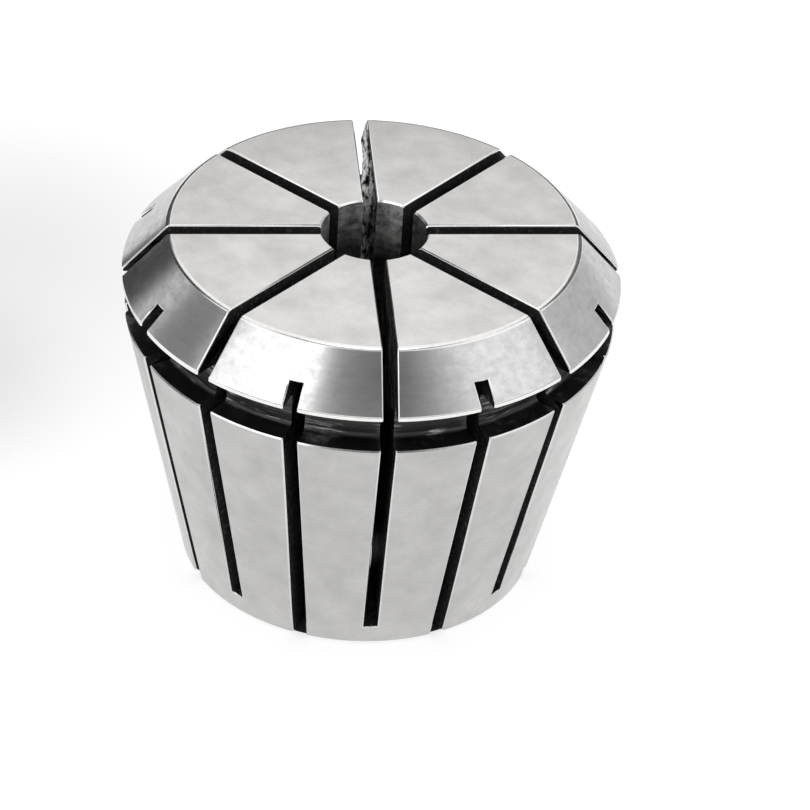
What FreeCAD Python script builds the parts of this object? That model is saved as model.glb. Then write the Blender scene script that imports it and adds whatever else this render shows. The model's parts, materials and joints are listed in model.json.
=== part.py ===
import FreeCAD, Part
import math
import os

# A spring collet for a collet chuck, standing on its small rear end with the front face up.
# One piece of turned, slotted and ground spring steel: a flat front face, a nose cone that the
# clamping nut presses on, a groove that the nut's ring snaps into, a long seating taper, and a
# clamping bore with a wider relief behind it.
# Eight saw slots run back from the front face and eight more run forward from the rear face,
# half a pitch round from them, so that the whole sleeve closes evenly on a shank.
# Origin: centre of the rear face. +Z points along the axis to the front face. Millimetres.

# Overall
overall_length = 25.3
largest_diameter = 33.0

# Front face and nose cone
face_diameter = 27.1
nose_half_angle = 41.5
lip_land = 0.25

# Groove for the nut's ring
groove_width = 2.55
groove_floor_diameter = 29.2
groove_corner_radius = 0.35

# Seating taper
taper_front_diameter = 32.5
taper_half_angle = 12.7

# Clamping bore and the relief behind it
bore_diameter = 7.0
relief_diameter = 12.0
relief_depth = 7.6
relief_shoulder_half_angle = 59.0

# Saw slots
# The front slots are sawn right across, two at a pass, so that their floor is flat. The rear slots
# are plunged one by one, so that their floor keeps the saw's round and stops short in the bore.
# The first front slot is turned from +X, so that the XZ and YZ planes pass through whole segments
slots_per_end = 8
first_slot_angle = 11.25
slot_width = 0.9
saw_diameter = 50.0
saw_clearance_in_bore = 0.5
rear_ring_thickness = 1.9
front_bridge_depth = 2.1

# Edge breaks
face_edge_break = 0.22
taper_edge_break = 0.1
rear_edge_break = 0.4
bore_edge_break = 0.12

# How far a cutter stands clear of the body that it cuts
cutter_overrun = 2.0

# Worked out from the values above
largest_radius = largest_diameter / 2
face_radius = face_diameter / 2
nose_height = (largest_radius - face_radius) / math.tan(math.radians(nose_half_angle))
nose_edge_break = min(face_edge_break, nose_height / 2)
lip_bottom_z = overall_length - nose_height - lip_land
taper_front_z = lip_bottom_z - groove_width
groove_floor_radius = groove_floor_diameter / 2
taper_front_radius = taper_front_diameter / 2
taper_slope = math.tan(math.radians(taper_half_angle))
rear_radius = taper_front_radius - taper_front_z * taper_slope
bore_radius = bore_diameter / 2
relief_radius = relief_diameter / 2
relief_shoulder_height = (relief_radius - bore_radius) / math.tan(math.radians(relief_shoulder_half_angle))
saw_radius = saw_diameter / 2
saw_reach_past_axis = bore_radius - saw_clearance_in_bore
saw_centre_radius = saw_radius - saw_reach_past_axis
slot_pitch = 360.0 / slots_per_end


def at(radius, height):
    """A point of the half section."""
    return FreeCAD.Vector(radius, 0, height)


def taper_radius(height):
    """Radius of the seating taper at a height above the rear face."""
    return rear_radius + height * taper_slope


def nose_radius(height):
    """Radius of the nose cone at a height above the rear face."""
    return face_radius + (overall_length - height) * math.tan(math.radians(nose_half_angle))


def line(start, end):
    return Part.LineSegment(start, end).toShape()


def corner(start, corner_point, end):
    """A quarter-round fillet from start to end, inside a square corner of the groove."""
    centre = start + end - corner_point
    middle = centre + (corner_point - centre).normalize() * (start - centre).Length
    return Part.Arc(start, middle, end).toShape()


def groove_edges():
    """The groove from the lip's lower edge to the ledge on top of the taper."""
    floor, fillet = groove_floor_radius, groove_corner_radius
    upper_start = at(floor + fillet, lip_bottom_z)
    upper_end = at(floor, lip_bottom_z - fillet)
    lower_start = at(floor, taper_front_z + fillet)
    lower_end = at(floor + fillet, taper_front_z)
    ledge_end = at(taper_front_radius - taper_edge_break, taper_front_z)
    return [
        line(at(largest_radius, lip_bottom_z), upper_start),
        corner(upper_start, at(floor, lip_bottom_z), upper_end),
        line(upper_end, lower_start),
        corner(lower_start, at(floor, taper_front_z), lower_end),
        line(lower_end, ledge_end),
    ]


def polyline(points):
    return [line(start, end) for start, end in zip(points, points[1:])]


def turned_blank():
    """The collet before it is sawn: one closed half section turned about the axis."""
    nose = polyline([
        at(bore_radius, overall_length - bore_edge_break),
        at(bore_radius + bore_edge_break, overall_length),
        at(face_radius - nose_edge_break, overall_length),
        at(nose_radius(overall_length - nose_edge_break), overall_length - nose_edge_break),
        at(largest_radius, lip_bottom_z + lip_land),
        at(largest_radius, lip_bottom_z),
    ])
    tail = polyline([
        at(taper_front_radius - taper_edge_break, taper_front_z),
        at(taper_radius(taper_front_z - taper_edge_break), taper_front_z - taper_edge_break),
        at(taper_radius(rear_edge_break), rear_edge_break),
        at(rear_radius - rear_edge_break, 0),
        at(relief_radius + bore_edge_break, 0),
        at(relief_radius, bore_edge_break),
        at(relief_radius, relief_depth),
        at(bore_radius, relief_depth + relief_shoulder_height),
        at(bore_radius, overall_length - bore_edge_break),
    ])
    section = Part.Face(Part.Wire(nose + groove_edges() + tail))
    return section.revolve(FreeCAD.Vector(0, 0, 0), FreeCAD.Vector(0, 0, 1), 360)


def sawn_slab(outline):
    """The slot that the saw leaves, from its outline in the XZ plane."""
    slab = Part.Face(Part.Wire(outline)).extrude(FreeCAD.Vector(0, slot_width, 0))
    slab.translate(FreeCAD.Vector(0, -slot_width / 2, 0))
    return slab


def front_pass():
    """One pass of the saw right across the front face: two opposite slots down to the rear ring."""
    outside = largest_radius + cutter_overrun
    open_z = overall_length + cutter_overrun
    return sawn_slab(polyline([
        at(-outside, rear_ring_thickness),
        at(outside, rear_ring_thickness),
        at(outside, open_z),
        at(-outside, open_z),
        at(-outside, rear_ring_thickness),
    ]))


def rear_plunge():
    """One plunge of the saw from the rear, on the +X side of the axis.

    The saw's rim reaches past the axis, still inside the bore. It leaves a round floor that meets
    the nose cone at front_bridge_depth below the front face.
    """
    blind_z = overall_length - front_bridge_depth
    inward = max(saw_centre_radius - nose_radius(blind_z), 0)
    centre_z = blind_z - math.sqrt(saw_radius ** 2 - inward ** 2)
    rim = at(-saw_reach_past_axis, centre_z)
    highest = at(saw_centre_radius, centre_z + saw_radius)
    halfway = at(
        saw_centre_radius - saw_radius * math.cos(math.radians(45)),
        centre_z + saw_radius * math.sin(math.radians(45)),
    )
    outside = saw_centre_radius + largest_radius
    return sawn_slab([Part.Arc(rim, halfway, highest).toShape()] + polyline([
        highest,
        at(outside, highest.z),
        at(outside, -cutter_overrun),
        at(-saw_reach_past_axis, -cutter_overrun),
        rim,
    ]))


def turned_copies(cutter, first_angle, count):
    """Copies of the cutter, one slot pitch apart round the axis."""
    copies = []
    for index in range(count):
        copy = cutter.copy()
        copy.rotate(FreeCAD.Vector(0, 0, 0), FreeCAD.Vector(0, 0, 1), first_angle + index * slot_pitch)
        copies.append(copy)
    return copies


def collet():
    passes = turned_copies(front_pass(), first_slot_angle, slots_per_end // 2)
    plunges = turned_copies(rear_plunge(), first_slot_angle + slot_pitch / 2, slots_per_end)
    return turned_blank().cut(passes + plunges)


os.makedirs("parts", exist_ok=True)
body = collet()
body.exportStep("parts/collet.step")
print("valid", body.isValid(), "solids", len(body.Solids), "faces", len(body.Faces))
print("volume cm3 %.4f" % (body.Volume / 1000), "box", body.BoundBox)
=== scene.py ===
import json
import math

import bpy
from mathutils import Matrix, Vector


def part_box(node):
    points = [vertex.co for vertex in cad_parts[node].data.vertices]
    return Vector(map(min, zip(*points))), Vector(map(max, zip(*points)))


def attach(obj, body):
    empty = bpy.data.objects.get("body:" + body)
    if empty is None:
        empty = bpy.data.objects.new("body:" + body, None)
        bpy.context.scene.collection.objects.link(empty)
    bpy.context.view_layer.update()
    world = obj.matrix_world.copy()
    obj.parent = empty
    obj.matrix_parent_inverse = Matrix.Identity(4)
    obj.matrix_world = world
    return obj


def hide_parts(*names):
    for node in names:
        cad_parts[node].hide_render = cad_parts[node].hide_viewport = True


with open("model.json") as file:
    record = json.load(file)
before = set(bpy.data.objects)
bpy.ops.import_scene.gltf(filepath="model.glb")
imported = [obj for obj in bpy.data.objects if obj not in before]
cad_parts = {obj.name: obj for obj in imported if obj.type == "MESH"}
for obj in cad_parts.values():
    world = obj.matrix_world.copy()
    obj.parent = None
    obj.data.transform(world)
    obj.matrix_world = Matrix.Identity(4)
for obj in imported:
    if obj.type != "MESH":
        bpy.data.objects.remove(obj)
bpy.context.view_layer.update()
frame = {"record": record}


# The turned blank.
# One bar of spring steel, turned to a front face, a nose cone, a groove for the nut's ring and a
# long seating taper, then bored from the front and relieved from behind. It is drawn as one half
# section, from the mouth of the bore round the outside and back up the relief.
MM = 0.001
mount = {entry["name"]: entry for entry in frame["record"]["mounts"]}
low_corner, high_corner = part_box("collet")
overall_length = high_corner.z - low_corner.z
largest_radius = 16.5 * MM
face_radius = 13.55 * MM
nose_half_angle = math.radians(41.5)
lip_land = 0.25 * MM
groove_width = 2.55 * MM
groove_floor_radius = 14.6 * MM
groove_corner_radius = 0.35 * MM
taper_front_radius = 16.25 * MM
taper_half_angle = math.radians(12.7)
bore_radius = mount["clamping_bore"]["dims"]["r_mm"] * MM
relief_radius = 6.0 * MM
relief_depth = 7.6 * MM
relief_shoulder_half_angle = math.radians(59)
face_edge_break = 0.22 * MM
lip_edge_break = 0.08 * MM
taper_edge_break = 0.1 * MM
rear_edge_break = 0.4 * MM
bore_edge_break = 0.12 * MM

nose_height = (largest_radius - face_radius) / math.tan(nose_half_angle)
lip_bottom = overall_length - nose_height - lip_land
taper_front = lip_bottom - groove_width
rear_radius = taper_front_radius - taper_front * math.tan(taper_half_angle)
relief_shoulder_height = (relief_radius - bore_radius) / math.tan(relief_shoulder_half_angle)
finish_names = ["ground face", "nose", "broken edge", "groove", "taper", "bore"]


def corner(radius, height, edge_break, steps, eased, leaving):
    """A corner of the section: how it is broken, and the finishes of its break and of the next line."""
    return {
        "place": Vector((radius, 0.0, height)),
        "edge_break": edge_break,
        "steps": steps,
        "eased": finish_names.index(eased),
        "leaving": finish_names.index(leaving),
    }


corners = [
    corner(bore_radius, overall_length, bore_edge_break, 1, "broken edge", "ground face"),
    corner(face_radius, overall_length, face_edge_break, 5, "broken edge", "nose"),
    corner(largest_radius, lip_bottom + lip_land, lip_edge_break, 3, "broken edge", "broken edge"),
    corner(largest_radius, lip_bottom, 0.0, 0, "broken edge", "groove"),
    corner(groove_floor_radius, lip_bottom, groove_corner_radius, 6, "groove", "groove"),
    corner(groove_floor_radius, taper_front, groove_corner_radius, 6, "groove", "groove"),
    corner(taper_front_radius, taper_front, taper_edge_break, 1, "broken edge", "taper"),
    corner(rear_radius, 0.0, rear_edge_break, 1, "broken edge", "ground face"),
    corner(relief_radius, 0.0, bore_edge_break, 1, "broken edge", "bore"),
    corner(relief_radius, relief_depth, 0.0, 0, "bore", "bore"),
    corner(bore_radius, relief_depth + relief_shoulder_height, 0.0, 0, "bore", "bore"),
]


def broken(before, here, after):
    """The points that replace a corner: one for a sharp one, two for a flat break, more for an arc."""
    if here["steps"] == 0:
        return [here["place"]]
    back = (before["place"] - here["place"]).normalized()
    onward = (after["place"] - here["place"]).normalized()
    half_opening = back.angle(onward) / 2
    arc_radius = here["edge_break"] * math.tan(half_opening)
    centre = here["place"] + (back + onward).normalized() * arc_radius / math.sin(half_opening)
    start = (here["place"] + back * here["edge_break"] - centre).normalized()
    end = (here["place"] + onward * here["edge_break"] - centre).normalized()
    shares = [step / here["steps"] for step in range(here["steps"] + 1)]
    return [centre + start.slerp(end, share) * arc_radius for share in shares]


section_points = []
section_finishes = []
for number, here in enumerate(corners):
    points = broken(corners[number - 1], here, corners[(number + 1) % len(corners)])
    section_points += points
    section_finishes += [here["eased"]] * (len(points) - 1) + [here["leaving"]]
section_mesh = bpy.data.meshes.new("half_section")
section_mesh.from_pydata(
    section_points,
    [(index, (index + 1) % len(section_points)) for index in range(len(section_points))],
    [],
)
section_mesh.attributes.new("finish", "INT", "EDGE").data.foreach_set("value", section_finishes)
collet = bpy.data.objects.new("slotted_collet", section_mesh)
bpy.context.scene.collection.objects.link(collet)


# The steel's finishes.
# Each face of the collet keeps the marks of the tool that finished it: ground on the front face,
# the nose cone and the seating taper, turned in the groove and the relief, honed in the bore, and
# torn by the saw in the slots. They are all the same steel, so only tone, grain and gloss differ.
class Nodes:
    """A node tree under construction."""

    def __init__(self, tree):
        self.tree = tree

    def add(self, kind, feeds=(), **settings):
        """Adds a node, with its settings, and feeds its inputs by name."""
        node = self.tree.nodes.new(kind)
        for name, value in settings.items():
            setattr(node, name, value)
        for name, value in dict(feeds).items():
            self.feed(node.inputs[name], value)
        return node

    def feed(self, socket, value):
        """Links another node's output to the socket, or sets it to a plain value."""
        if isinstance(value, bpy.types.NodeSocket):
            self.tree.links.new(value, socket)
        else:
            socket.default_value = value

    def math(self, operation, first, second=0.0, third=0.0):
        node = self.add("ShaderNodeMath", operation=operation)
        for socket, value in zip(node.inputs, (first, second, third)):
            self.feed(socket, value)
        return node.outputs[0]


class Finish(Nodes):
    """A material under construction: steel whose grain is worked out in millimetres."""

    def __init__(self, name):
        self.material = bpy.data.materials.new(name)
        self.material.use_nodes = True
        super().__init__(self.material.node_tree)
        self.shader = self.tree.nodes["Principled BSDF"]
        self.shader.inputs["Metallic"].default_value = 1.0
        place = self.add("ShaderNodeTexCoord").outputs["Object"]
        scaled = self.add("ShaderNodeVectorMath", operation="SCALE")
        self.tree.links.new(place, scaled.inputs[0])
        scaled.inputs["Scale"].default_value = 1 / MM
        self.place_mm = scaled.outputs[0]

    def stretched(self, across, along):
        """Coordinates that run round the axis: fine along the height, long round the collet."""
        node = self.add("ShaderNodeVectorMath", operation="MULTIPLY")
        self.feed(node.inputs[0], self.place_mm)
        node.inputs[1].default_value = (along, along, across)
        return node.outputs[0]

    def height(self):
        split = self.add("ShaderNodeSeparateXYZ")
        self.feed(split.inputs[0], self.place_mm)
        return split.outputs["Z"]

    def radius(self, centre=(0, 0)):
        """Distance from the axis, or from an upright line through centre."""
        flat = self.add("ShaderNodeVectorMath", operation="MULTIPLY")
        self.feed(flat.inputs[0], self.place_mm)
        flat.inputs[1].default_value = (1, 1, 0)
        length = self.add("ShaderNodeVectorMath", operation="DISTANCE")
        self.feed(length.inputs[0], flat.outputs[0])
        length.inputs[1].default_value = (*centre, 0)
        return length.outputs["Value"]

    def noise(self, place, scale, detail, roughness):
        return self.add("ShaderNodeTexNoise", {
            "Vector": place,
            "Scale": scale,
            "Detail": detail,
            "Roughness": roughness,
        }).outputs["Fac"]

    def graded(self, value, to, over=(0.3, 0.7)):
        """Goes through the range to while value goes through the range over, and stops at its ends."""
        return self.add("ShaderNodeMapRange", {
            "Value": value,
            "From Min": over[0],
            "From Max": over[1],
            "To Min": to[0],
            "To Max": to[1],
        }).outputs[0]

    def tone(self, value, warmth=0.01):
        """Paints the steel a grey of that brightness, a little warm where warmth is above zero."""
        tint = self.add("ShaderNodeCombineColor")
        self.feed(tint.inputs[0], value)
        self.feed(tint.inputs[1], self.math("MULTIPLY", value, 1 - warmth))
        self.feed(tint.inputs[2], self.math("MULTIPLY", value, 1 - 2 * warmth))
        self.feed(self.shader.inputs["Base Color"], tint.outputs[0])

    def rough(self, value):
        self.feed(self.shader.inputs["Roughness"], value)

    def bump(self, height, depth_mm):
        node = self.add("ShaderNodeBump")
        node.inputs["Distance"].default_value = depth_mm * MM
        self.feed(node.inputs["Height"], height)
        self.feed(self.shader.inputs["Normal"], node.outputs[0])


def ground_face():
    """Flat-ground front and rear faces: even satin grey with a faint mottle."""
    steel = Finish("ground_face")
    mottle = steel.noise(steel.place_mm, scale=0.45, detail=4.0, roughness=0.6)
    grain = steel.noise(steel.place_mm, scale=5.0, detail=3.0, roughness=0.6)
    base = steel.graded(mottle, to=(0.635, 0.77))
    steel.tone(steel.math("ADD", base, steel.graded(grain, to=(-0.02, 0.02))), warmth=0.018)
    steel.rough(steel.graded(mottle, to=(0.34, 0.28)))
    steel.bump(grain, depth_mm=0.0012)
    return steel.material


def ground_nose():
    """Ground nose cone: a brighter polish that mirrors the lights, clouded by handling."""
    steel = Finish("ground_nose_cone")
    cloud = steel.noise(steel.place_mm, scale=1.6, detail=4.0, roughness=0.62)
    wheel_place = steel.stretched(across=4.0, along=0.6)
    wheel = steel.noise(wheel_place, scale=1.0, detail=3.0, roughness=0.6)
    base = steel.graded(cloud, to=(0.52, 0.65))
    steel.tone(steel.math("ADD", base, steel.graded(wheel, to=(-0.028, 0.028))), warmth=0.002)
    steel.rough(steel.graded(cloud, to=(0.24, 0.15)))
    steel.shader.inputs["Specular Tint"].default_value = (0.8, 0.8, 0.8, 1)
    steel.bump(wheel, depth_mm=0.0012)
    return steel.material


def ground_taper():
    """Ground seating taper: soft even grey, with the wheel's faint marks running round it.

    It is painted lighter toward the rear end, as painted light.
    """
    steel = Finish("ground_seating_taper")
    wheel_place = steel.stretched(across=6.0, along=0.25)
    wheel = steel.noise(wheel_place, scale=1.0, detail=3.0, roughness=0.6)
    smudge = steel.noise(steel.place_mm, scale=0.5, detail=4.0, roughness=0.6)
    smudged = steel.graded(smudge, to=(0.445, 0.53))
    base = steel.math("ADD", smudged, steel.graded(wheel, to=(-0.01, 0.01)))
    # Painted light: the taper's tone grows lighter toward the rear end.
    painted_light_at_the_rear = steel.graded(steel.height(), to=(1.09, 1.0), over=(0.0, 7.0))
    steel.tone(steel.math("MULTIPLY", base, painted_light_at_the_rear))
    steel.rough(steel.graded(smudge, to=(0.33, 0.26)))
    steel.bump(wheel, depth_mm=0.0008)
    return steel.material


def turned_groove():
    """Turned groove: dark with quench scale, and rubbed to thin bright scratches by the nut's ring."""
    steel = Finish("turned_groove")
    rings_place = steel.stretched(across=6.0, along=0.5)
    rings = steel.noise(rings_place, scale=1.0, detail=4.0, roughness=0.65)
    rubbing_and_painted_light = steel.noise(steel.place_mm, scale=0.42, detail=2.0, roughness=0.5)
    thin_rings = steel.graded(rings, to=(0.0, 1.0), over=(0.52, 0.66))
    rubbed_parts = steel.graded(rubbing_and_painted_light, to=(0.0, 1.0), over=(0.46, 0.58))
    scratch = steel.math("MULTIPLY", thin_rings, rubbed_parts)
    scratch_brightness = 0.4
    scale = steel.graded(rings, to=(0.045, 0.085))
    steel.tone(steel.math("ADD", scale, steel.math("MULTIPLY", scratch, scratch_brightness)))
    steel.rough(steel.graded(scratch, to=(0.42, 0.3), over=(0.0, 1.0)))
    steel.bump(rings, depth_mm=0.012)
    return steel.material


def honed_bore():
    """Honed bore and turned relief: clouded grey, marked round the wall, and darker inside than at the
    front, which is painted shade.

    One segment of the bore's wall is painted lighter, as painted light, and the next one darker, as
    painted shade.
    """
    steel = Finish("honed_bore")
    painted_light_centre = (1.4, 3.2)
    painted_shade_centre = (2.9, 1.9)
    rings_place = steel.stretched(across=3.0, along=0.5)
    rings = steel.noise(rings_place, scale=1.0, detail=3.0, roughness=0.6)
    cloud = steel.noise(steel.place_mm, scale=1.0, detail=4.0, roughness=0.65)
    grey = steel.graded(cloud, to=(0.3, 0.72), over=(0.42, 0.62))
    clouded = steel.math("ADD", grey, steel.graded(rings, to=(-0.15, 0.15)))
    # Painted shade: the wall grows darker deeper inside the bore.
    painted_shade_deeper_in = steel.graded(steel.height(), to=(0.1, 1.1), over=(20.6, 24.4))
    # Painted light on one segment of the wall, and painted shade on the next.
    rubbing_and_painted_light = steel.graded(steel.radius(painted_light_centre), to=(1.8, 1.0), over=(0.3, 1.4))
    painted_shade_patch = steel.graded(steel.radius(painted_shade_centre), to=(0.4, 1.0), over=(0.9, 1.7))
    painted_light_and_shade = steel.math("MULTIPLY", rubbing_and_painted_light, painted_shade_patch)
    steel.tone(steel.math("MULTIPLY", steel.math("MULTIPLY", clouded, painted_shade_deeper_in), painted_light_and_shade))
    steel.rough(steel.graded(cloud, to=(0.7, 0.55)))
    steel.bump(rings, depth_mm=0.02)
    return steel.material


def sawn_slot():
    """Slot walls: pitted as the saw left them, with bare streaks along its slanted path, and painted
    near black as painted shade in the narrow slots.

    The streaks fade downwards and in toward the bore, and are duller just below the front face.
    """
    steel = Finish("sawn_slot")
    path_slant = 0.65
    streaks_per_mm = 1.6
    across_path = steel.math("MULTIPLY_ADD", steel.radius(), path_slant, steel.height())
    level = steel.add("ShaderNodeSeparateXYZ")
    steel.feed(level.inputs[0], steel.stretched(across=0.0, along=0.42))
    streak_place = steel.add("ShaderNodeCombineXYZ")
    steel.feed(streak_place.inputs["X"], level.outputs["X"])
    steel.feed(streak_place.inputs["Y"], level.outputs["Y"])
    steel.feed(streak_place.inputs["Z"], steel.math("MULTIPLY", across_path, streaks_per_mm))
    streak = steel.noise(streak_place.outputs[0], scale=1.0, detail=4.0, roughness=0.6)
    fleck = steel.noise(steel.place_mm, scale=3.4, detail=3.0, roughness=0.6)
    # Painted shade: the walls' near-black tone stands for the shade deep in the narrow slots.
    black = steel.graded(streak, to=(0.015, 0.04))
    flecks = steel.graded(fleck, to=(0.0, 0.05), over=(0.56, 0.68))
    steel.tone(steel.math("ADD", black, flecks))
    bare = steel.graded(streak, to=(0.0, 1.0), over=(0.41, 0.55))
    up_and_out = steel.graded(across_path, to=(0.12, 0.95), over=(26.3, 29.2))
    below_the_face = steel.graded(steel.height(), to=(1.0, 0.35), over=(23.9, 24.7))
    worn = steel.math("MULTIPLY", up_and_out, below_the_face)
    steel.feed(steel.shader.inputs["Metallic"], steel.math("MULTIPLY", bare, worn))
    steel.shader.inputs["Specular IOR Level"].default_value = 0.0
    steel.rough(steel.graded(streak, to=(0.3, 0.14)))
    return steel.material


def broken_edge():
    """The stoned edge breaks and the lip's land, with a painted highlight: brightest round the nose,
    duller on the taper.
    """
    steel = Finish("broken_edge")
    wear = steel.noise(steel.place_mm, scale=3.0, detail=3.0, roughness=0.6)
    # Painted highlight: edges from the lip up are painted brighter than those on the taper and below.
    painted_shine = steel.graded(steel.height(), to=(0.66, 0.82), over=(19.4, 20.6))
    steel.tone(steel.math("ADD", painted_shine, steel.graded(wear, to=(-0.06, 0.04))))
    steel.rough(steel.graded(wear, to=(0.13, 0.2)))
    return steel.material


finishes = {
    "ground face": ground_face(),
    "nose": ground_nose(),
    "broken edge": broken_edge(),
    "groove": turned_groove(),
    "taper": ground_taper(),
    "bore": honed_bore(),
}


# The saw slots.
# Eight slots from the front face, sawn right across two at a pass to a flat floor, and eight from
# the rear, half a pitch round, each plunged by a disc that leaves a round floor. The tree turns the
# half section about the axis, in columns that run beside each slot, and then saws every slot.
slots_per_end = 8
first_slot_angle = math.radians(11.25)
slot_width = 0.9 * MM
saw_radius = 25.0 * MM
saw_clearance_in_bore = 0.5 * MM
rear_ring_thickness = 1.9 * MM
front_bridge_depth = 2.1 * MM
slot_edge_break = 0.12 * MM
weld_distance = 0.001 * MM
saw_centre_radius = saw_radius - (bore_radius - saw_clearance_in_bore)

# A rear slot's round floor meets the nose cone at this radius, below the bridge.
bridge_radius = face_radius + front_bridge_depth * math.tan(nose_half_angle)
floor_run = saw_centre_radius - bridge_radius
saw_centre_height = overall_length - front_bridge_depth - math.sqrt(saw_radius ** 2 - floor_run ** 2)


class ShapeTree(Nodes):
    """A Geometry Nodes tree under construction, with its named inputs."""

    def __init__(self, name):
        super().__init__(bpy.data.node_groups.new(name, "GeometryNodeTree"))
        self.values = {}

    def socket(self, name, kind, value=None):
        """Adds a named input, and keeps the value that the modifier gives it."""
        self.tree.interface.new_socket(name, in_out="INPUT", socket_type="NodeSocket" + kind)
        self.values[name] = value

    def start(self):
        """Adds the tree's output, and gives the named inputs as the nodes see them."""
        self.tree.interface.new_socket("Collet", in_out="OUTPUT", socket_type="NodeSocketGeometry")
        return self.add("NodeGroupInput").outputs

    def point(self, x=0.0, y=0.0, z=0.0):
        return self.add("ShaderNodeCombineXYZ", {"X": x, "Y": y, "Z": z}).outputs[0]

    def place(self):
        position = self.add("GeometryNodeInputPosition").outputs[0]
        return self.add("ShaderNodeSeparateXYZ", {"Vector": position}).outputs

    def compare(self, first, operation, second):
        node = self.add("FunctionNodeCompare", operation=operation, data_type="FLOAT")
        self.feed(node.inputs[0], first)
        self.feed(node.inputs[1], second)
        return node.outputs[0]

    def paint(self, geometry, material, chosen=None):
        node = self.add("GeometryNodeSetMaterial", {"Geometry": geometry, "Material": material})
        if chosen is not None:
            self.feed(node.inputs["Selection"], chosen)
        return node.outputs[0]

    def apply_to(self, piece):
        """Puts the tree on the piece as a modifier, and sets each named input by its identifier."""
        modifier = piece.modifiers.new(self.tree.name, "NODES")
        modifier.node_group = self.tree
        for item in self.tree.interface.items_tree:
            if item.in_out == "INPUT" and self.values.get(item.name) is not None:
                modifier[item.identifier] = self.values[item.name]
        return modifier


saw = ShapeTree("turned_and_sawn")
saw.socket("Half Section", "Geometry")
saw.socket("Slots per End", "Int", slots_per_end)
saw.socket("First Slot Angle", "Float", first_slot_angle)
saw.socket("Slot Width", "Float", slot_width)
saw.socket("Edge Strip Share", "Float", 0.035)
saw.socket("Columns per Half Pitch", "Int", 10)
saw.socket("Saw Radius", "Float", saw_radius)
saw.socket("Saw Centre Radius", "Float", saw_centre_radius)
saw.socket("Saw Facets", "Int", 144)
saw.socket("Saw Centre Height", "Float", saw_centre_height)
saw.socket("Rear Ring Thickness", "Float", rear_ring_thickness)
saw.socket("Overrun", "Float", 2 * overall_length)
saw.socket("Crease Angle", "Float", math.radians(18))
saw.socket("Slot Steel", "Material", sawn_slot())
for name, material in finishes.items():
    saw.socket(name.title() + " Steel", "Material", material)
size = saw.start()

# Rows of the grid follow the half section, and its columns go round the axis. The first and last
# column of each half pitch keep the same distance from the slot's wall from bore to lip.
section_size = saw.add("GeometryNodeAttributeDomainSize", {"Geometry": size["Half Section"]})
row_count = section_size.outputs["Point Count"]
half_pitches = saw.math("MULTIPLY", size["Slots per End"], 2)
column_count = saw.math("MULTIPLY", half_pitches, size["Columns per Half Pitch"])
grid = saw.add("GeometryNodeMeshGrid", {
    "Size X": 1.0,
    "Size Y": 1.0,
    "Vertices X": saw.math("ADD", column_count, 1),
    "Vertices Y": saw.math("ADD", row_count, 1),
})
across, up, _ = saw.place()
column = saw.math("ROUND", saw.math("MULTIPLY", saw.math("ADD", across, 0.5), column_count))
row = saw.math("ROUND", saw.math("MULTIPLY", saw.math("ADD", up, 0.5), row_count))
section_place = saw.add("GeometryNodeSampleIndex", {
    "Geometry": size["Half Section"],
    "Value": saw.add("GeometryNodeInputPosition").outputs[0],
    "Index": saw.math("MODULO", row, row_count),
}, data_type="FLOAT_VECTOR")
radius, _, height = saw.add("ShaderNodeSeparateXYZ", {"Vector": section_place.outputs["Value"]}).outputs
columns = size["Columns per Half Pitch"]
half_pitch = saw.math("DIVIDE", 2 * math.pi, half_pitches)
slot_number = saw.math("FLOOR", saw.math("DIVIDE", saw.math("ADD", column, 0.5), columns))
column_in_pitch = saw.math("SUBTRACT", column, saw.math("MULTIPLY", slot_number, columns))
strip_width = saw.math("MULTIPLY", radius, size["Edge Strip Share"])
wall_offset = saw.math("MULTIPLY_ADD", size["Slot Width"], 0.5, strip_width)
wall_angle = saw.math("ARCSINE", saw.math("DIVIDE", wall_offset, radius))
share = saw.math("DIVIDE", saw.math("SUBTRACT", column_in_pitch, 1), saw.math("SUBTRACT", columns, 2))
open_angle = saw.math("SUBTRACT", half_pitch, saw.math("MULTIPLY", wall_angle, 2))
past_slot = saw.math("MULTIPLY_ADD", share, open_angle, wall_angle)
beside_slot = saw.math("GREATER_THAN", column_in_pitch, 0.5)
slot_angle = saw.math("MULTIPLY_ADD", slot_number, half_pitch, size["First Slot Angle"])
angle = saw.math("MULTIPLY_ADD", beside_slot, past_slot, slot_angle)
turned = saw.add("GeometryNodeSetPosition", {
    "Geometry": grid.outputs["Mesh"],
    "Position": saw.point(
        saw.math("MULTIPLY", radius, saw.math("COSINE", angle)),
        saw.math("MULTIPLY", radius, saw.math("SINE", angle)),
        height,
    ),
})
closed = saw.add("GeometryNodeMergeByDistance", {
    "Geometry": turned.outputs[0],
    "Distance": weld_distance,
})
blank = saw.add("GeometryNodeFlipFaces", {"Mesh": closed.outputs[0]})


def round_the_axis(cut, count, first_half_pitch):
    """The cut at count places, a slot pitch apart, from some half pitches past the first slot."""
    places = saw.add("GeometryNodeMeshLine", {"Count": count, "Offset": (0, 0, 0)})
    number = saw.add("GeometryNodeInputIndex").outputs[0]
    half_pitches_on = saw.math("MULTIPLY_ADD", number, 2, first_half_pitch)
    turn = saw.math("MULTIPLY_ADD", half_pitches_on, half_pitch, size["First Slot Angle"])
    return saw.add("GeometryNodeInstanceOnPoints", {
        "Points": places.outputs[0],
        "Instance": saw.paint(cut.outputs[0], size["Slot Steel"]),
        "Rotation": saw.point(z=turn),
    }).outputs[0]


def front_pass():
    """One pass of the saw right across the front face, which cuts two opposite slots."""
    slab = saw.add("GeometryNodeMeshCube", {
        "Size": saw.point(size["Overrun"], size["Slot Width"], size["Overrun"]),
    })
    middle = saw.math("MULTIPLY_ADD", size["Overrun"], 0.5, size["Rear Ring Thickness"])
    return saw.add("GeometryNodeTransform", {
        "Geometry": slab.outputs["Mesh"],
        "Translation": saw.point(z=middle),
    })


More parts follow.
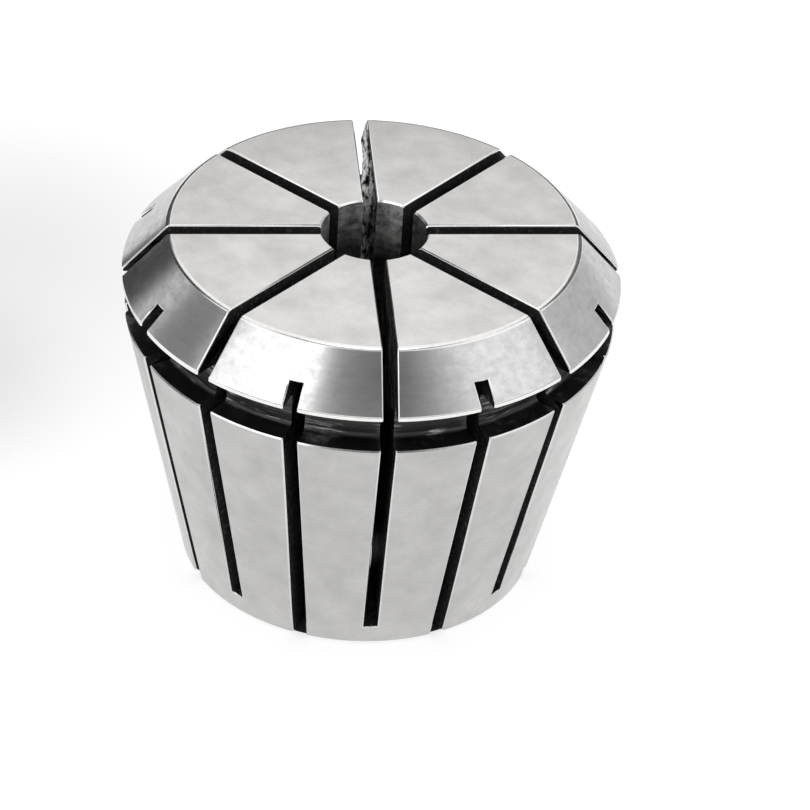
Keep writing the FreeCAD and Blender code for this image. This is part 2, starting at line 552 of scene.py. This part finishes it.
def rear_plunge():
    """The saw's disc, drawn out to the rear end of the slot that it plunges."""
    disc = saw.add("GeometryNodeMeshCylinder", {
        "Vertices": size["Saw Facets"],
        "Radius": size["Saw Radius"],
        "Depth": size["Slot Width"],
    }, fill_type="NGON")
    half_facet = saw.math("DIVIDE", math.pi, size["Saw Facets"])
    upright = saw.add("GeometryNodeTransform", {
        "Geometry": disc.outputs["Mesh"],
        "Rotation": saw.point(x=math.pi / 2, y=half_facet),
    })
    x, y, z = saw.place()
    just_below_the_axle = -0.01 * MM
    slab = saw.add("GeometryNodeSetPosition", {
        "Geometry": upright.outputs[0],
        "Selection": saw.compare(z, "LESS_THAN", just_below_the_axle),
        "Position": saw.point(x, y, saw.math("MULTIPLY", size["Overrun"], -1)),
    })
    placed = saw.add("GeometryNodeTransform", {
        "Geometry": slab.outputs[0],
        "Translation": saw.point(size["Saw Centre Radius"], 0.0, size["Saw Centre Height"]),
    })
    return saw.add("GeometryNodeMergeByDistance", {
        "Geometry": placed.outputs[0],
        "Distance": weld_distance,
    })


passes = saw.math("MULTIPLY", size["Slots per End"], 0.5)
sawn = saw.add("GeometryNodeMeshBoolean", operation="DIFFERENCE", solver="MANIFOLD")
saw.feed(sawn.inputs["Mesh 1"], saw.paint(blank.outputs[0], size["Taper Steel"]))
saw.feed(sawn.inputs["Mesh 2"], round_the_axis(front_pass(), passes, 0))
saw.feed(sawn.inputs["Mesh 2"], round_the_axis(rear_plunge(), size["Slots per End"], 1))
clean = saw.add("GeometryNodeMergeByDistance", {
    "Geometry": sawn.outputs["Mesh"],
    "Distance": 2 * weld_distance,
})

# Each turned face has the finish of the nearest line of the half section. Creases stay crisp, the
# rest is smooth, and the edges of the slots are marked for the stone, but not in the groove and bore.
x, y, z = saw.place()
radius_here = saw.math("SQRT", saw.math("MULTIPLY_ADD", x, x, saw.math("MULTIPLY", y, y)))
nearest_line = saw.add("GeometryNodeSampleNearest", {
    "Geometry": size["Half Section"],
    "Sample Position": saw.point(radius_here, 0.0, z),
}, domain="EDGE")
finish_here = saw.add("GeometryNodeSampleIndex", {
    "Geometry": size["Half Section"],
    "Value": saw.add("GeometryNodeInputNamedAttribute", {"Name": "finish"}, data_type="INT").outputs[0],
    "Index": nearest_line.outputs["Index"],
}, data_type="INT", domain="EDGE").outputs["Value"]
sawn_here = saw.add("GeometryNodeMaterialSelection", {"Material": size["Slot Steel"]}).outputs[0]
turned_here = saw.math("LESS_THAN", sawn_here, 0.5)
in_groove = saw.compare(finish_here, "EQUAL", finish_names.index("groove"))
in_bore = saw.compare(finish_here, "EQUAL", finish_names.index("bore"))
turned_outside_groove = saw.math("SUBTRACT", turned_here, in_groove)
outside_here = saw.math("GREATER_THAN", saw.math("SUBTRACT", turned_outside_groove, in_bore), 0.5)


def share_of_faces(field):
    """The share of an edge's two faces on which the field is true."""
    on_faces = saw.add("GeometryNodeFieldOnDomain", {"Value": field}, domain="FACE", data_type="FLOAT")
    return on_faces.outputs[0]


smooth = saw.add("GeometryNodeSetShadeSmooth", {
    "Geometry": clean.outputs[0],
    "Shade Smooth": True,
}, domain="FACE")
bend = saw.add("GeometryNodeInputMeshEdgeAngle").outputs["Unsigned Angle"]
creased = saw.add("GeometryNodeSetShadeSmooth", {
    "Geometry": smooth.outputs[0],
    "Shade Smooth": saw.compare(bend, "LESS_THAN", size["Crease Angle"]),
}, domain="EDGE")

# An edge between a sawn face and an outside one has half its faces of each kind, and no other edge
# has both kinds.
sawn_to_outside = saw.math("MULTIPLY", share_of_faces(sawn_here), share_of_faces(outside_here))
some_of_both = 0.1
marked = saw.add("GeometryNodeStoreNamedAttribute", {
    "Geometry": creased.outputs[0],
    "Name": "bevel_weight_edge",
    "Value": saw.math("GREATER_THAN", sawn_to_outside, some_of_both),
}, domain="EDGE", data_type="FLOAT")
whole = saw.add("GeometryNodeRealizeInstances", {"Geometry": marked.outputs[0]}).outputs[0]

# The turned faces are painted with their finish, and the sawn walls keep theirs.
finish_or_none = saw.math("MULTIPLY", saw.math("ADD", finish_here, 1), turned_here)
painted = whole
for number, name in enumerate(finishes):
    chosen = saw.compare(finish_or_none, "EQUAL", number + 1)
    painted = saw.paint(painted, size[name.title() + " Steel"], chosen)
saw.add("NodeGroupOutput", {"Collet": painted})


def finished(piece):
    """Replaces the piece's mesh by what its modifiers make of it, and removes them."""
    bpy.context.view_layer.update()
    evaluated = piece.evaluated_get(bpy.context.evaluated_depsgraph_get())
    mesh = bpy.data.meshes.new_from_object(evaluated)
    piece.modifiers.clear()
    piece.data = mesh
    return mesh


saw.apply_to(collet)
finished(collet)

# The edges of the slots are stoned after sawing, so that they don't cut the hand or score the shank.
stoned = collet.modifiers.new("stoned_edges", "BEVEL")
stoned.width = slot_edge_break
stoned.segments = 2
stoned.limit_method = "WEIGHT"
stoned.use_clamp_overlap = False
stoned.material = collet.data.materials.find("broken_edge")
stoned.harden_normals = True
finished(collet)
collet.data.name = "slotted_collet"

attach(collet, "root")
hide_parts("collet")


# The table and backdrop.
# White card on a light table, lit from below too, with two painted soft shadows on its left. A small
# black card under the collet keeps the table's light out of its slots: it is painted shadow. A faint
# painted pool of light glows on it below the bore, where the near slot shows it.
table_half_width = 3.0
table_whiteness = 0.4
table_glow = 0.7
near_shadow = {"centre": (-35 * MM, 10 * MM), "radius": 19 * MM, "strength": 0.24}
wide_shadow = {"centre": (-32 * MM, 30 * MM), "radius": 34 * MM, "strength": 0.25}
# The black card under the collet is painted shadow, with a painted pool of light below the bore.
painted_shadow_card_radius = rear_radius - rear_edge_break - 0.1 * MM
painted_shadow_card_height = 0.01 * MM
painted_shadow_card_sides = 96
painted_light_pool = {"centre": (1.6 * MM, -0.9 * MM), "radius": 2.7 * MM, "strength": 1.7}


def light_table():
    card = bpy.data.meshes.new("white_table")
    half = table_half_width
    card.from_pydata(
        [(-half, -half, 0), (half, -half, 0), (half, half, 0), (-half, half, 0)],
        [],
        [(0, 1, 2, 3)],
    )
    table = bpy.data.objects.new("white_table", card)
    bpy.context.scene.collection.objects.link(table)
    white = bpy.data.materials.new("white_card")
    white.use_nodes = True
    shader = white.node_tree.nodes["Principled BSDF"]
    shader.inputs["Roughness"].default_value = 1.0
    shader.inputs["Specular IOR Level"].default_value = 0.0
    shader.inputs["Emission Color"].default_value = (1, 1, 1, 1)
    surface = Nodes(white.node_tree)
    darkened = surface.math("ADD", soft_spot(surface, **near_shadow), soft_spot(surface, **wide_shadow))
    for name, strength in {"Base Color": table_whiteness, "Emission Strength": table_glow}.items():
        surface.feed(shader.inputs[name], surface.math("MULTIPLY_ADD", darkened, -strength, strength))
    card.materials.append(white)


def soft_spot(surface, centre, radius, strength):
    """A round soft spot on a card: full strength at its centre, and none from its radius on."""
    place = surface.add("ShaderNodeTexCoord").outputs["Object"]
    apart = surface.add("ShaderNodeVectorMath", operation="DISTANCE")
    surface.feed(apart.inputs[0], place)
    surface.feed(apart.inputs[1], (*centre, 0))
    return surface.add("ShaderNodeMapRange", {
        "Value": apart.outputs["Value"],
        "From Max": radius,
        "To Min": strength,
        "To Max": 0.0,
    }, interpolation_type="SMOOTHSTEP").outputs[0]


def painted_shadow_card():
    """A disc of black card, a little smaller than the rear end: painted shadow under the collet, with a
    faint painted pool of light below the bore.
    """
    disc = bpy.data.meshes.new("painted_shadow_card")
    turns = [2 * math.pi * side / painted_shadow_card_sides for side in range(painted_shadow_card_sides)]
    points = [
        (painted_shadow_card_radius * math.cos(turn), painted_shadow_card_radius * math.sin(turn), painted_shadow_card_height)
        for turn in turns
    ]
    disc.from_pydata(points, [], [list(range(len(points)))])
    card = bpy.data.objects.new("painted_shadow_card", disc)
    bpy.context.scene.collection.objects.link(card)
    black = bpy.data.materials.new("painted_shadow_black")
    black.use_nodes = True
    shader = black.node_tree.nodes["Principled BSDF"]
    shader.inputs["Base Color"].default_value = (0.05, 0.05, 0.05, 1)
    shader.inputs["Roughness"].default_value = 0.9
    shader.inputs["Emission Color"].default_value = (1, 1, 1, 1)
    surface = Nodes(black.node_tree)
    # Painted light: a pool of light glows on the card below the bore.
    surface.feed(shader.inputs["Emission Strength"], soft_spot(surface, **painted_light_pool))
    disc.materials.append(black)


light_table()
painted_shadow_card()


# The studio light.
# A white tent round the object. Strips of cloth hang inside it where the nose cone and the broken
# edges mirror them: a front ribbon, bright on the left and dark where the camera stands, six dark
# flags and a light overhead.
tent_radiance = 1.1
tent_radius = 1.3
view_azimuth = 4.53
collet_middle = Vector((0, 0, overall_length / 2))


def tent():
    world = bpy.data.worlds.new("white_tent")
    bpy.context.scene.world = world
    world.use_nodes = True
    background = world.node_tree.nodes["Background"]
    background.inputs["Color"].default_value = (1, 1, 1, 1)
    background.inputs["Strength"].default_value = tent_radiance


def toward(azimuth, elevation):
    """Direction from the object, in degrees. Azimuth 0 is at the camera and grows to its right."""
    azimuth, elevation = math.radians(azimuth + view_azimuth), math.radians(elevation)
    level = math.cos(elevation)
    return Vector((math.sin(azimuth) * level, -math.cos(azimuth) * level, math.sin(elevation)))


def glowing_cloth():
    cloth = bpy.data.materials.new("tent_cloth")
    cloth.use_nodes = True
    nodes = cloth.node_tree.nodes
    nodes.remove(nodes["Principled BSDF"])
    glow = nodes.new("ShaderNodeEmission")
    brightness = nodes.new("ShaderNodeAttribute")
    brightness.attribute_name = "radiance"
    cloth.node_tree.links.new(brightness.outputs["Fac"], glow.inputs["Strength"])
    cloth.node_tree.links.new(glow.outputs[0], nodes["Material Output"].inputs["Surface"])
    cloth.cycles.emission_sampling = "NONE"
    return cloth


cloth = glowing_cloth()


def ribbon(name, height, stops, distance=tent_radius):
    """Hangs a strip of cloth, height degrees tall, through stops of azimuth, elevation and radiance."""
    points, glow = [], []
    for azimuth, elevation, radiance in stops:
        for side in (-height / 2, height / 2):
            points.append(collet_middle + toward(azimuth, elevation + side) * distance)
            glow.append(radiance)
    faces = [(2 * at, 2 * at + 1, 2 * at + 3, 2 * at + 2) for at in range(len(stops) - 1)]
    strip = bpy.data.meshes.new(name)
    strip.from_pydata(points, [], faces)
    strip.attributes.new("radiance", "FLOAT", "POINT").data.foreach_set("value", glow)
    strip.materials.append(cloth)
    hung = bpy.data.objects.new(name, strip)
    bpy.context.scene.collection.objects.link(hung)
    hung.visible_camera = False
    hung.visible_diffuse = False
    hung.visible_shadow = False


tent()
ribbon("front_ribbon", height=24, stops=[
    (-164, 8, 1.0), (-157, 8, 0.3), (-150, 8, 0.06), (-122, 12, 0.08), (-116, 15, 0.75),
    (-109, 18, 0.85), (-102, 20, 0.33), (-90, 26, 0.26), (-78, 31, 0.28), (-75, 32, 1.6),
    (-50, 39, 1.95), (-28, 44, 2.1), (-22, 45, 0.7), (-17, 46, 0.34), (-8, 47, 0.28),
    (0, 47, 0.24), (12, 47, 0.18), (23, 45, 0.185), (33, 44, 0.38), (43, 42, 0.68),
    (62, 37, 1.3), (88, 28, 1.25), (105, 19, 0.72), (130, 8, 0.72), (150, 8, 1.0),
])
ribbon("back_flag", height=30, distance=1.25, stops=[
    (azimuth, 11, 0.2) for azimuth in range(160, 201, 8)
])
ribbon("right_flag", height=34, distance=1.24, stops=[
    (167, 18, 0.15), (157, 18, 0.15), (150, 19, 0.15), (143, 23, 0.15),
    (136, 28, 0.15), (128, 36, 0.15), (118, 44, 0.15),
])
ribbon("left_flag", height=34, distance=1.24, stops=[
    (-167, 19, 0.07), (-155, 19, 0.07), (-149, 18, 0.07), (-143, 20, 0.07), (-137, 24, 0.07),
    (-130, 30, 0.07), (-122, 36, 0.07), (-112, 42, 0.08), (-104, 45, 0.1),
])
ribbon("low_left_flag", height=12, distance=0.1, stops=[
    (azimuth, -1, 0.08) for azimuth in range(-137, -108, 7)
])
ribbon("overhead_flag", height=12, distance=1.25, stops=[
    (azimuth, 70, 0.35) for azimuth in range(-100, 101, 10)
])
ribbon("low_front_flag", height=16, distance=1.25, stops=[
    (azimuth, 9, 0.3) for azimuth in range(-60, 101, 10)
])
ribbon("overhead_light", height=26, distance=1.2, stops=[
    (azimuth, 90, 2.2) for azimuth in range(-90, 91, 30)
])


# The camera.
# A long lens from about 29 cm, looking down on the front face, leaning a little to one side.
image_size = 810
focal_pixels = 4391.5
face_centre_pixel = (374.35, 229.45)
face_centre_distance = 287.6 * MM
view_elevation = math.radians(35.70)
view_roll = math.radians(3.75)


def camera():
    turn = Matrix.Rotation(math.radians(view_azimuth), 3, "Z")
    level_back = Vector((0, -math.cos(view_elevation), math.sin(view_elevation)))
    level_up = Vector((0, math.sin(view_elevation), math.cos(view_elevation)))
    level_right = Vector((1, 0, 0))
    back = turn @ level_back
    right = turn @ (level_right * math.cos(view_roll) + level_up * math.sin(view_roll))
    up = turn @ (level_up * math.cos(view_roll) - level_right * math.sin(view_roll))
    from_middle = [pixel - image_size / 2 for pixel in face_centre_pixel]
    sideways = from_middle[0] / focal_pixels * face_centre_distance
    downwards = from_middle[1] / focal_pixels * face_centre_distance
    face_centre = Vector((0, 0, overall_length))
    place = face_centre - right * sideways + up * downwards + back * face_centre_distance
    data = bpy.data.cameras.new("camera")
    data.sensor_width = 36.0
    data.lens = focal_pixels * data.sensor_width / image_size
    data.clip_start = 0.01
    eye = bpy.data.objects.new("camera", data)
    bpy.context.scene.collection.objects.link(eye)
    axes = Matrix((right, up, back)).transposed().to_4x4()
    eye.matrix_world = Matrix.Translation(place) @ axes
    bpy.context.scene.camera = eye


camera()
bpy.context.scene.view_settings.view_transform = "Standard"
